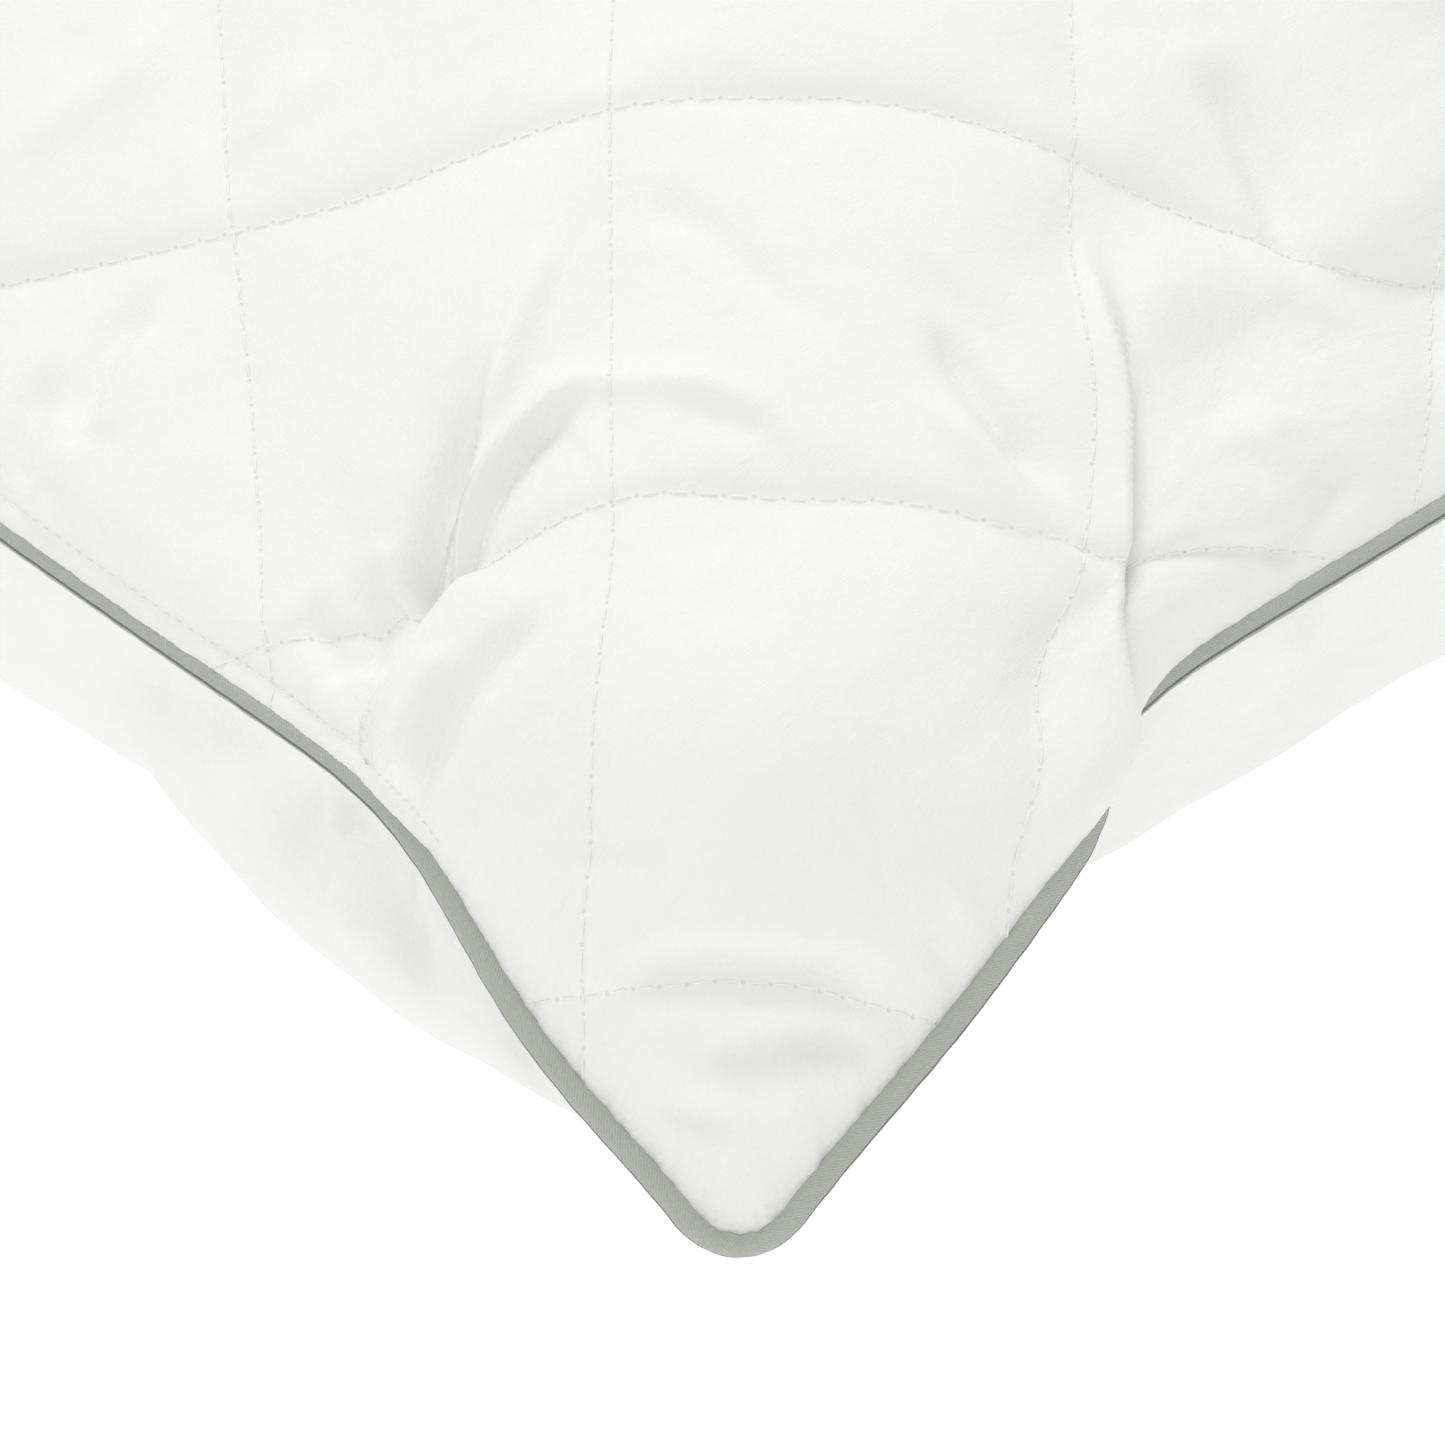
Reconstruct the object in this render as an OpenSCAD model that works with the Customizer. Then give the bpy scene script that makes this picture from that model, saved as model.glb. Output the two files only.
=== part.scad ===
// Filled bed pillow: a quilted top panel and a plain underside, joined by a corded piping seam.
// Lengths are millimetres. The pillow lies on z = 0 with its length along X and its crown up.

/* [Cover] */
// Length of the flat cover, seam to seam
cover_l = 700; // [600:10:800]
// Width of the flat cover, seam to seam
cover_w = 500; // [400:10:600]
// Thickness of the cotton cover fabric
cover_t = 0.8; // [0.4:0.1:1.2]
// Thickness of the quilting wadding under the top cover
wadding_t = 5; // [3:0.5:8]
// Thickness of the backing fabric that the wadding is quilted to
lining_t = 0.4; // [0.3:0.1:0.8]

/* [Filling] */
// Height of the filled pillow at its crown
crown_h = 168; // [140:2:190]
// Height of the seam above the bed, halfway along an edge
seam_h = 76; // [60:2:90]
// How far the corner ears droop below the rest of the seam
ear_droop = 40; // [10:2:48]
// How far each corner is drawn in from the flat cover's corner, in X and in Y
corner_draw = 7; // [0:1:15]
// How far the middle of a short edge is drawn in behind its corners
end_draw = 17; // [0:1:30]
// How far the middle of a long edge is drawn in behind its corners
side_draw = 22; // [0:1:30]
// How far the underside would bulge below the bed if the bed didn't flatten it
bed_flattening = 24; // [10:2:40]

/* [Quilting] */
// Distance between neighbouring quilting lines
quilt_pitch = 75; // [50:1:100]
// Distance from the front right corner to the first quilting line that crosses the diagonal
first_cross_line = 39; // [20:1:60]
// Distance of the first line beside that corner's own diagonal, towards the back right
first_along_line = 49; // [10:1:70]
// Gap between a quilting line's end and the seam
quilt_end_gap = 6; // [3:1:15]
// Width of a quilting thread
thread_w = 0.6; // [0.4:0.1:1]

/* [Seam and piping] */
// Outside diameter of the piping
piping_d = 4.8; // [4:0.2:6]
// Thickness of the twill tape around the piping cord
tape_t = 0.5; // [0.3:0.1:0.7]
// Gap between the two leaves of the tape's flange
leaf_gap = 0.2; // [0.1:0.1:0.4]
// Distance from the front right corner to the closing stitches along the front edge
closing_start = 85; // [60:5:150]
// Length of the closing stitches
closing_l = 240; // [150:10:300]
// Height of the closing stitches above the seam, along the cover
closing_inset = 3.5; // [2:0.5:6]

/* [Hidden] */

// The cover is divided into cells that are square when it lies flat.
cell = 25;
cells_l = 2 * round(cover_l / (2 * cell));
cells_w = 2 * round(cover_w / (2 * cell));
row = cells_l + 1;
grid_n = row * (cells_w + 1);
ring_n = 2 * (cells_l + cells_w);

half_l = cover_l / 2 - corner_draw;
half_w = cover_w / 2 - corner_draw;
top_rise = crown_h - seam_h;
bottom_drop = seam_h + bed_flattening;

// How sharply the droop is held to the ears, along the long and the short edges
droop_power_l = 8;
droop_power_w = 5.5;
// The share by which the cover's middle spreads wider than its steep sides
side_steepness = 0.126;

// Depths of the layers' faces below the outside of the cover
cover_depth = cover_t;
wadding_depth = cover_t + wadding_t;
lining_depth = wadding_depth + lining_t;

// The tape's flange reaches in between the panels as far as the quilted layers are thick.
flange_w = lining_depth;
flange_half = tape_t + leaf_gap / 2;
cord_r = piping_d / 2 - tape_t;
piping_sides = 8;

thread_lift = 0.05;
thread_h = thread_w / 2;
seam_thread_w = 0.6;
seam_thread_inset = 0.5;

// Share of the plan's half-width that a point of the cover reaches, from where it lies on the flat cover.
// Both arguments run from -1 to 1; the cover's sides are steep except near a corner.
function reach(s, across) =
    s * (1 + side_steepness * (1 - pow(across, 4)) * (1 - pow(s, 6)));

function plan(s, t, inset) =
    let (u = reach(s, t), v = reach(t, s))
    [
        u * (half_l - inset - end_draw * (1 - v * v)),
        v * (half_w - inset - side_draw * (1 - u * u))
    ];

// How full the pillow is at a point: 0 along the seam and 1 at the crown
function fullness(s, t) =
    let (u = reach(s, t), v = reach(t, s))
    sqrt(max(0, (1 - u * u) * (1 - v * v)));

// How far the surface that the seam lies in droops at a point
function droop(s, t) = ear_droop * pow(abs(s), droop_power_l) * pow(abs(t), droop_power_w);

// Height of that surface, a distance inwards of a point. It is straight across the tape's flange.
function mid_z(s, t, inset) =
    let (here = droop(s, t), inner = droop(s * (1 - flange_w / half_l), t * (1 - flange_w / half_w)))
    seam_h - here + (here - inner) * inset / flange_w;

function top_point(s, t, depth) =
    let (xy = plan(s, t, depth), rise = top_rise - flange_half - depth)
    [xy.x, xy.y, mid_z(s, t, depth) + flange_half + rise * fullness(s, t)];

function bottom_point(s, t, depth) =
    let (xy = plan(s, t, depth), drop = bottom_drop - flange_half - depth)
    [xy.x, xy.y, max(depth, mid_z(s, t, depth) - flange_half - drop * fullness(s, t))];

function top_grid(depth) = [
    for (j = [0:cells_w])
        for (i = [0:cells_l])
            top_point(2 * i / cells_l - 1, 2 * j / cells_w - 1, depth)
];

function bottom_grid(depth) = [
    for (j = [0:cells_w])
        for (i = [0:cells_l])
            bottom_point(2 * i / cells_l - 1, 2 * j / cells_w - 1, depth)
];

// Grid columns and rows of the seam's points, counter-clockwise from the front left corner
seam_cells = concat(
    [for (i = [0:cells_l - 1]) [i, 0]],
    [for (j = [0:cells_w - 1]) [cells_l, j]],
    [for (i = [cells_l:-1:1]) [i, cells_w]],
    [for (j = [cells_w:-1:1]) [0, j]]
);
seam_index = [for (c = seam_cells) c.y * row + c.x];

// Whether a cell holds the front left or the back right corner, where its diagonal turns to meet that corner
function turned(i, j) = (i == 0 && j == 0) || (i == cells_l - 1 && j == cells_w - 1);

// One face of a layer. Each cell is two triangles, split along the front right corner's diagonal direction.
function sheet_faces(base, upward) = [
    for (j = [0:cells_w - 1])
        for (i = [0:cells_l - 1])
            let (
                a = base + j * row + i,
                b = a + 1,
                c = a + row,
                d = c + 1,
                pair = turned(i, j) ? [[a, d, b], [a, c, d]] : [[a, c, b], [b, c, d]]
            )
            for (f = pair)
                upward ? f : [f[0], f[2], f[1]]
];

// A band of triangles between two closed loops of points. Each step of a band splits from the inner loop
// to the next point of the outer one, so that bands and the tape's flange meet face to face.
function band_faces(low, high, high_is_outer) = [
    for (k = [0:ring_n - 1])
        let (n = (k + 1) % ring_n)
        each (
            high_is_outer
            ? [[low[k], high[k], high[n]], [low[k], high[n], low[n]]]
            : [[low[k], high[k], low[n]], [high[k], high[n], low[n]]]
        )
];

// A layer of the pillow: everything between two faces that end at the seam
module layer(upper, lower, upper_is_outer) {
    polyhedron(
        points = concat(upper, lower),
        faces = concat(
            sheet_faces(0, true),
            sheet_faces(grid_n, false),
            band_faces([for (k = seam_index) k + grid_n], seam_index, upper_is_outer)
        )
    );
}

module top_cover() {
    color([0.95, 0.95, 0.94]) layer(top_grid(0), top_grid(cover_depth), true);
}

module top_wadding() {
    color([0.9, 0.92, 0.95]) layer(top_grid(cover_depth), top_grid(wadding_depth), true);
}

module top_lining() {
    color([0.86, 0.86, 0.84]) layer(top_grid(wadding_depth), top_grid(lining_depth), true);
}

module bottom_cover() {
    color([0.94, 0.94, 0.93]) layer(bottom_grid(cover_depth), bottom_grid(0), false);
}

// The fibre filling. Its edge steps round the tape's flange.
module fill_core() {
    step = [
        for (c = seam_cells)
            let (s = 2 * c.x / cells_l - 1, t = 2 * c.y / cells_w - 1, xy = plan(s, t, flange_w))
            [xy.x, xy.y, mid_z(s, t, flange_w) - flange_half]
    ];
    step_index = [for (k = [0:ring_n - 1]) 2 * grid_n + k];
    color([0.97, 0.97, 0.98])
        polyhedron(
            points = concat(top_grid(flange_w), bottom_grid(cover_depth), step),
            faces = concat(
                sheet_faces(0, true),
                sheet_faces(grid_n, false),
                band_faces([for (k = seam_index) k + grid_n], step_index, false),
                band_faces(step_index, seam_index, true)
            )
        );
}

// A closed strip all round the seam. The profile's points are [distance out from the seam, height],
// counter-clockwise with the outside of the pillow to the right.
module seam_sweep(profile) {
    n = len(profile);
    rings = [
        for (c = seam_cells)
            let (
                s = 2 * c.x / cells_l - 1,
                t = 2 * c.y / cells_w - 1,
                seam = plan(s, t, 0),
                out = (seam - plan(s, t, flange_w)) / flange_w
            )
            for (p = profile)
                [seam.x + out.x * p.x, seam.y + out.y * p.x, mid_z(s, t, -p.x) + p.y]
    ];
    polyhedron(
        points = rings,
        faces = [
            for (k = [0:ring_n - 1])
                for (m = [0:n - 1])
                    let (
                        a = k * n + m,
                        b = k * n + (m + 1) % n,
                        c = ((k + 1) % ring_n) * n + m,
                        d = ((k + 1) % ring_n) * n + (m + 1) % n,
                        outwards = profile[(m + 1) % n].x >= profile[m].x
                    )
                    each (outwards ? [[a, b, d], [a, d, c]] : [[a, b, c], [b, d, c]])
        ]
    );
}

// Corners of a round section whose flats face straight in and out, from the one above the inner flat
function round_section(r) = [
    for (k = [0:piping_sides - 1])
        let (angle = 180 - 180 / piping_sides - k * 360 / piping_sides)
        [piping_d / 2 + r * cos(angle), r * sin(angle)]
];

// The tape is one strip: its upper leaf, round the cord, and back along its lower leaf.
module piping_tape() {
    outer = round_section(piping_d / 2 / cos(180 / piping_sides));
    inner = round_section(cord_r);
    slit_out = inner[0].x;
    color([0.62, 0.65, 0.61])
        seam_sweep([
            each [for (k = [piping_sides - 1:-1:0]) outer[k]],
            each [for (w = [0, cover_depth, wadding_depth, flange_w]) [-w, flange_half]],
            [-flange_w, leaf_gap / 2],
            [slit_out, leaf_gap / 2],
            each inner,
            [slit_out, -leaf_gap / 2],
            [-flange_w, -leaf_gap / 2],
            each [for (w = [flange_w, cover_depth, 0]) [-w, -flange_half]]
        ]);
}

module piping_cord() {
    section = round_section(cord_r);
    color([0.93, 0.92, 0.88])
        seam_sweep([for (k = [piping_sides - 1:-1:0]) section[k]]);
}

// The run of lockstitch between the tape's leaves, just inside the piping
module seam_thread() {
    near = -seam_thread_inset;
    far = near - seam_thread_w;
    color([0.8, 0.8, 0.78])
        seam_sweep([
            [near, -leaf_gap / 2], [near, leaf_gap / 2], [far, leaf_gap / 2], [far, -leaf_gap / 2]
        ]);
}

// The point of the faceted top cover at a place on the flat cover, given in cells from its front left corner
function on_facet(p) =
    let (
        i = min(floor(p.x), cells_l - 1),
        j = min(floor(p.y), cells_w - 1),
        a = p.x - i,
        b = p.y - j,
        near_x = grid_top([i + 1, j]),
        near_y = grid_top([i, j + 1]),
        low = grid_top([i, j]),
        high = grid_top([i + 1, j + 1])
    )
    turned(i, j) ? low * (1 - max(a, b)) + high * min(a, b) + (a > b ? near_x * (a - b) : near_y * (b - a))
    : a + b <= 1 ? low * (1 - a - b) + near_x * a + near_y * b
    : high * (a + b - 1) + near_x * (1 - b) + near_y * (1 - a);

function grid_top(c) = top_point(2 * c.x / cells_l - 1, 2 * c.y / cells_w - 1, 0);

function unit(v) = v / norm(v);

// The cover's outward direction at a place given in cells
function outward(p) =
    let (d = 0.2)
    unit(cross(
        on_facet([min(p.x + d, cells_l), p.y]) - on_facet([max(p.x - d, 0), p.y]),
        on_facet([p.x, min(p.y + d, cells_w)]) - on_facet([p.x, max(p.y - d, 0)])
    ));

// A thread of three-sided section that lies on the top cover along a list of places given in cells
module surface_thread(places) {
    n = len(places);
    points = [for (p = places) on_facet(p)];
    rings = [
        for (k = [0:n - 1])
            let (
                up = outward(places[k]),
                along = points[min(k + 1, n - 1)] - points[max(k - 1, 0)],
                side = unit(cross(up, along)) * thread_w / 2,
                base = points[k] + up * thread_lift
            )
            each [base - side, base + side, base + up * thread_h]
    ];
    polyhedron(
        points = rings,
        faces = concat(
            [[0, 1, 2], [3 * n - 1, 3 * n - 2, 3 * n - 3]],
            [
                for (k = [0:n - 2])
                    for (m = [0:2])
                        let (a = 3 * k + m, b = 3 * k + (m + 1) % 3)
                        each [[a, a + 3, b + 3], [a, b + 3, b]]
            ]
        )
    );
}

// Keeps the values strictly inside a span and adds its two ends.
function clipped(values, low, high) =
    concat([low], [for (v = values) if (v > low + 0.01 && v < high - 0.01) v], [high]);

quilt_step = quilt_pitch * sqrt(2) / cell;
end_gap = quilt_end_gap / cell;

// Quilting lines that run from the front right corner's side to the back left: x + y is constant on each.
// A line turns where it crosses a cell's edge.
module quilt_thread_along() {
    corner_sum = cells_l;
    first = corner_sum + first_along_line * sqrt(2) / cell;
    color([0.98, 0.98, 0.98])
        for (n = [-ceil(first / quilt_step):ceil((cells_l + cells_w - first) / quilt_step)])
            let (
                total = first + n * quilt_step,
                low = max(end_gap, total - cells_w + end_gap),
                high = min(cells_l - end_gap, total - end_gap),
                part = total - floor(total)
            )
            if (high - low > 1)
                surface_thread([
                    for (x = clipped([for (i = [0:cells_l]) each [i, i + part]], low, high)) [x, total - x]
                ]);
}

// Quilting lines that run across that corner's diagonal: x - y is constant on each.
// A line turns where it crosses a cell's edge or its diagonal.
module quilt_thread_across() {
    first = cells_l - first_cross_line * sqrt(2) / cell;
    color([0.98, 0.98, 0.98])
        for (n = [-ceil((first + cells_w) / quilt_step):0])
            let (
                gap = first + n * quilt_step,
                low = max(end_gap, gap + end_gap),
                high = min(cells_l - end_gap, cells_w + gap - end_gap),
                part = gap - floor(gap)
            )
            if (high - low > 1)
                surface_thread([
                    for (x = clipped(
                        [for (i = [0:cells_l]) each [i, i + part / 2, i + part, i + (1 + part) / 2]],
                        low, high
                    )) [x, x - gap]
                ]);
}

// The stitches that close the filling opening, on the front edge beside the front right corner
module closing_thread() {
    y = closing_inset / cell;
    high = cells_l - closing_start / cell;
    low = high - closing_l / cell;
    color([0.98, 0.98, 0.98])
        surface_thread([
            for (x = clipped([for (i = [0:cells_l]) each [i, i + 1 - y]], low, high)) [x, y]
        ]);
}

top_cover();
top_wadding();
top_lining();
quilt_thread_along();
quilt_thread_across();
bottom_cover();
fill_core();
piping_tape();
piping_cord();
seam_thread();
closing_thread();
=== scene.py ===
"""A bed pillow lying flat: quilted cotton top, plain cotton underside, and grey twill piping in the seam.

The cover is solved as cloth in millimetres, on a grid of fabric places: x and y are measured on the flat
cover from its middle, along its length and its width. Finished meshes are in metres, in the frame of the
CAD part.
"""

import math

import bpy
import numpy as np
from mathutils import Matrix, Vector


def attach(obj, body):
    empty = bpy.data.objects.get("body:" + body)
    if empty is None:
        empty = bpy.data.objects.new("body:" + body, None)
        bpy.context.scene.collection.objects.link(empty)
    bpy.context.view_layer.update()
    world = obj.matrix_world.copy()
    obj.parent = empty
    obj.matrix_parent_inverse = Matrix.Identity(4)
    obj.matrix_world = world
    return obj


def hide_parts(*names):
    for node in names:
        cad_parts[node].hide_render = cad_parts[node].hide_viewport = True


MM = 0.001
NEARLY_ZERO = 1e-9
ROOT_HALF = math.sqrt(0.5)
SIDEWAYS = np.array([ROOT_HALF, ROOT_HALF, 0.0])

# Lengths of cloth are millimetres. A SPAN is where a change starts and where it is complete, and a WINDOW
# is the span where something grows, followed by the span where it dies away.

# The flat cover
HALF_LENGTH = 350.0
HALF_WIDTH = 250.0
CORNER_ROUNDING = 11.0

# The filled pillow's broad shape
TIP_X = 339.0
TIP_Y = 239.0
SEAM_HEIGHT = 78.0
SEAM_ROUNDING = 1.5
TOP_RISE = 92.0
TOP_ROUNDNESS = 1.38
BOTTOM_FALL = 108.0
BOTTOM_ROUNDNESS = 3.2
RIDGE_ROUNDING = 80.0
RIDGE_ROUNDING_SHARE = 0.45
MIDDLE_DRAW = 12.0
MIDDLE_START = 190.0

# The bulge of the underside below the seam
END_BELLY = -4.0
SIDE_BELLY = 26.0
FAR_BELLY = 0.42
BELLY_WINDOW = (0, 38, 38, 228)
BELLY_TIP_SPAN = (4, 59)
BELLY_PLACE = 80
BELLY_REACH = 65

# The four ears: corners that hang down beyond a bend across their roots
EAR_DROP = 46.0
EAR_REACH = 98.0
EAR_BEND_SOFTNESS = 0.06
EAR_SHORTENING = 11.0
SHORTENING_SHARPNESS = 12
PLEAT_PLACE = 91.0
PLEAT_WIDTH = 13.0
END_PLEAT = 16.5
END_LIFT = 5.0
END_LIFT_WIDTH = 30
END_LIFT_FADE = 60
SIDE_STEP = -1.0
SIDE_STEP_WIDTH = 70.0
END_BOW = 3.5
SIDE_BOW = 8.0
BOW_PLACE = 42.0
BOW_REACH = 32.0

# How far the cloth has slid beside the near ear, and how the ear's cross line bows towards the tip
FRONT_SLIDE = 24.0
END_SLIDE = 30.0
EAR_SPREAD = 11.0
SLIDE_WINDOW = (40, 110, 90, 330)
SLIDE_EDGE_SPAN = (0, 60)
FRONT_SLIDE_SPAN = (12, 92)
END_SLIDE_SPAN = (5, 115)
SPREAD_WINDOW = (-50, 40, 60, 110)
FRONT_LINE_BOW = 1.7
END_LINE_BOW = 5.7
LINE_BOW_WINDOW = (10, 32, 48, 93)
FRONT_BOW_SPAN = (0, 40)
END_BOW_SPAN = (0, 42)

# The puffed side of the near ear, and the lobe above it
OVERHANG = 9.0
OVERHANG_PLACE = 73
OVERHANG_REACH = 11
OVERHANG_SIDE_SPAN = (20, 60)
OVERHANG_RISE = 4
OVERHANG_FALL = 22
LOBE_OVERHANG = 5.0
LOBE_WINDOW = (78, 98, 125, 170)
LOBE_LINE = 66.5
LOBE_INNER_REACH = 14.0
LOBE_OUTER_REACH = 4.0
LOBE_EDGE_SPAN = (0, 12)

# The cloth solver
COARSE_STEP = 10.0
COARSE_ROUNDS = 150
FINE_STEP = 5.0
FINE_ROUNDS = 60
MOMENTUM = 0.85
PASSES = 3
PRESSURE = 0.008
GUIDE_STRENGTH = 0.15
COARSE_GUIDE_REACH = 30.0
FINE_GUIDE_REACH = 10.0
EDGE_GUIDE_REACH = 12.0
SEAM_GUIDE = 0.2
SHEAR_STIFFNESS = 0.25
TOP_BENDING = 0.3
BOTTOM_BENDING = 0.6
START_NOISE = 1.8
NOISE_SEED = 7

# Where the solved top is evened out beside the ears, as the middle and the reach each way
EASED_INWARD = (104, 48)
EASED_SIDEWAYS = (50, 36)
EASED_EDGE_SPAN = (8, 30)
EASING_CELLS = 3
EASING_ROUNDS = 2

# Quilting on the top, measured from the front right corner along its bisector and sideways from it
QUILT_PITCH = 75.0
FIRST_CROSS_LINE = 39.0
FIRST_ALONG_LINE = 49.0
LINES_EACH_WAY = 12
PUFF_HEIGHT = 3.6
PUFF_REACH = 11.0
LINE_SOFTNESS = 1.0
ROLL_HEIGHT = 3.0
ROLL_REACH = 4.0
QUILT_EDGE_SPAN = (-1, 15)
LINE_END_GAP = 0.6

# Stitches: pitch, length and thickness of the thread, and how it dives into the cloth
STITCH_PITCH = 4.5
STITCH_LENGTH = 3.5
THREAD_RADIUS = 0.23
STITCH_RINGS = 7
STITCH_SIDES = 6
STITCH_LIFT = 0.8
STITCH_DIVE = 2.3
STITCH_TAPER = 0.35

# Creases, slow waves and fine ripples of the cloth
CREASE_FIELD = 240
CREASE_EDGE_SPAN = (0, 13)
UNDERSIDE_DEPTH = 1.5
WAVE_HEIGHT = 0.8
WAVE_SIZE = 25.0
WAVE_SEED = 3
WAVE_EDGE_SPAN = (0, 14)
UNDERSIDE_WAVES = 1.5
RIPPLE_HEIGHT = 0.12
RIPPLE_SIZE = 7.0
RIPPLE_SEED = 4
RIPPLE_EDGE_SPAN = (0, 6)

# Small folds gathered into the seam; each wave is its share, its length and its start
PUCKER_DEPTH = 0.38
PUCKER_SHARE_FAR = 0.25
PUCKER_FADE = 40
PUCKER_REACH = 3.6
PUCKER_EDGE_SPAN = (-0.5, 1.5)
PUCKER_WAVES = ((1.0, 0.62, 0), (0.8, 0.93, 1), (0.6, 1.7, 2))

# The welt that the seam raises beside the piping
WELT_HEIGHT = 0.9
WELT_RISE = 0.7
WELT_REACH = 6.0

# The filling opening on the front edge, stitched shut
CLOSING_START = 85.0
CLOSING_LENGTH = 240.0
CLOSING_INSET = 4.6
CLOSING_PITCH = 2.6
CLOSING_STITCH = 1.9
CLOSING_RADIUS = 0.2
HEM_FADE = 14
HEM_HEIGHT = 0.8
HEM_PLACE = 0.45
HEM_REACH = 1.7
HEM_GROOVE = 0.8
GROOVE_REACH = 1.1

# Meshes are fine up to this far from the near corner, and coarse after a further stretch. Each mesh is its
# fine and its coarse step.
FINE_LENGTH = 235.0
GRADE_LENGTH = 60
TOP_MESH = (1.25, 3.3)
BOTTOM_MESH = (1.6, 3.6)
LAYER_MESH = (2.0, 6.0)
TAPE_MESH = (0.8, 3.0)
CORD_MESH = (3.0, 3.0)
SEAM_THREAD_MESH = (1.5, 3.0)
TAPE_SIDES = 20
CORD_SIDES = 10
SEAM_THREAD_SIDES = 6
ARC_POINTS = 46

# The piping round the seam; each pucker at the tip is its place along the seam and its depth
PIPING_RADIUS = 2.0
CORD_RADIUS = 1.45
PIPING_SINK = 0.85
FLANK_SINK = 2.0
FLANK_SPAN = (45, 95)
TAPE_PUCKERS = ((-3.5, 0.28), (0.4, 0.2), (3.2, 0.26), (7.5, 0.12))
TAPE_PUCKER_REACH = 0.9
TAPE_PUCKER_ROUND = 0.6
TAPE_PUCKER_INWARD = 0.4
TAPE_WAVE = 0.05
TAPE_WAVE_RATE = 0.9
TAPE_WAVE_TWIST = 0.13
SEAM_THREAD_RADIUS = 0.25
SEAM_THREAD_OFFSET = -0.3

# Layers inside the cover: how deep each surface lies, and at most what share of the way through
LAYER_INSET = 6.0
COVER_CLEARANCE = 1.3
CLEARANCE_REACH = 6
WADDING_TOP = (0.8, 0.08)
WADDING_BOTTOM = (5.2, 0.3)
LINING_DEPTH = (5.8, 0.34)
FILLING_TOP = (6.6, 0.4)
FILLING_BOTTOM = (1.0, 0.1)

# Materials
WHITE_COTTON = (0.86, 0.86, 0.845)
GREY_TWILL = (0.5, 0.525, 0.475)
WARP_SCALE = (3.2, 0.45, 0.0)
WEFT_SCALE = (0.6, 3.6, 0.0)
MOTTLE_SCALE = (0.16, 0.16, 0.0)
# Needle holes: how deep their dents are, the painted shade that darkens the cotton's colour in them, and how
# fast each spot fades
NEEDLE_HOLE_DEPTH = 0.14
NEEDLE_HOLE_PAINTED_SHADE = 0.9
NEEDLE_HOLE_FALL = 9.0
TWILL_PITCH = 0.62
TWILL_GRAIN_SCALE = (2.5, 2.5, 0.0)
TWILL_DARK = 0.78
TWILL_LIGHT = 1.18

# Floor, lights and camera, metres and degrees; a light is azimuth, elevation, distance, size and power
FLOOR_HALF = 4.0
FLOOR_HEIGHT = -0.001
FLOOR_GREY = 0.6
FLOOR_GLOW = 0.54
WORLD_STRENGTH = 0.785
KEY_LIGHT = (231, 58, 2.4, 0.9, 19.0)
FILL_LIGHT = (35, 35, 2.8, 1.6, 9.5)
CAMERA_AZIMUTH = 46.8
CAMERA_ELEVATION = 38.8
CAMERA_DISTANCE = 1.35
SENSOR_WIDTH = 36.0
PICTURE_WIDTH = 0.224
TIP_BELOW_MIDDLE = 0.0799
TIP_RIGHT_OF_MIDDLE = 0.0026


# ---- places on the fabric ----


def corner_places(x, y, along=1, across=-1):
    """Distance from the corner at (along, across) along its bisector, and sideways from the bisector."""
    from_end = HALF_LENGTH - along * x
    from_side = HALF_WIDTH - across * y
    return (from_end + from_side) * ROOT_HALF, (from_side - from_end) * ROOT_HALF


def fabric_place(inward, sideways):
    """The fabric x and y of a place given from the front right corner."""
    x = HALF_LENGTH - (inward - sideways) * ROOT_HALF
    y = -HALF_WIDTH + (inward + sideways) * ROOT_HALF
    return x, y


def edge_distance(x, y):
    """How far inside the rounded outline of the panel a place is."""
    past_x = np.abs(x) - (HALF_LENGTH - CORNER_ROUNDING)
    past_y = np.abs(y) - (HALF_WIDTH - CORNER_ROUNDING)
    outside = np.hypot(np.maximum(past_x, 0), np.maximum(past_y, 0))
    inside = np.minimum(np.maximum(past_x, past_y), 0)
    return CORNER_ROUNDING - outside - inside


def round_corners(x, y):
    """Moves the places of a rectangle's grid so that its corners become round."""
    box_x = HALF_LENGTH - CORNER_ROUNDING
    box_y = HALF_WIDTH - CORNER_ROUNDING
    p = np.clip((np.abs(x) - box_x) / CORNER_ROUNDING, 0, 1)
    q = np.clip((np.abs(y) - box_y) / CORNER_ROUNDING, 0, 1)
    shift_x = CORNER_ROUNDING * (p * np.sqrt(1 - q * q / 2) - p)
    shift_y = CORNER_ROUNDING * (q * np.sqrt(1 - p * p / 2) - q)
    return x + np.sign(x) * shift_x, y + np.sign(y) * shift_y


def rise(value, start, end):
    """0 up to the start, 1 from the end, and an even curve between."""
    share = np.clip((value - start) / (end - start), 0, 1)
    return share * share * (3 - 2 * share)


def window(value, start, full, fading_from, end):
    """0 outside start and end, 1 in the middle, and an even curve on both sides."""
    return rise(value, start, full) * (1 - rise(value, fading_from, end))


def hump(value, middle, reach):
    """1 at the middle, and nothing far to both sides of it."""
    return np.exp(-(((value - middle) / reach) ** 2))


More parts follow.
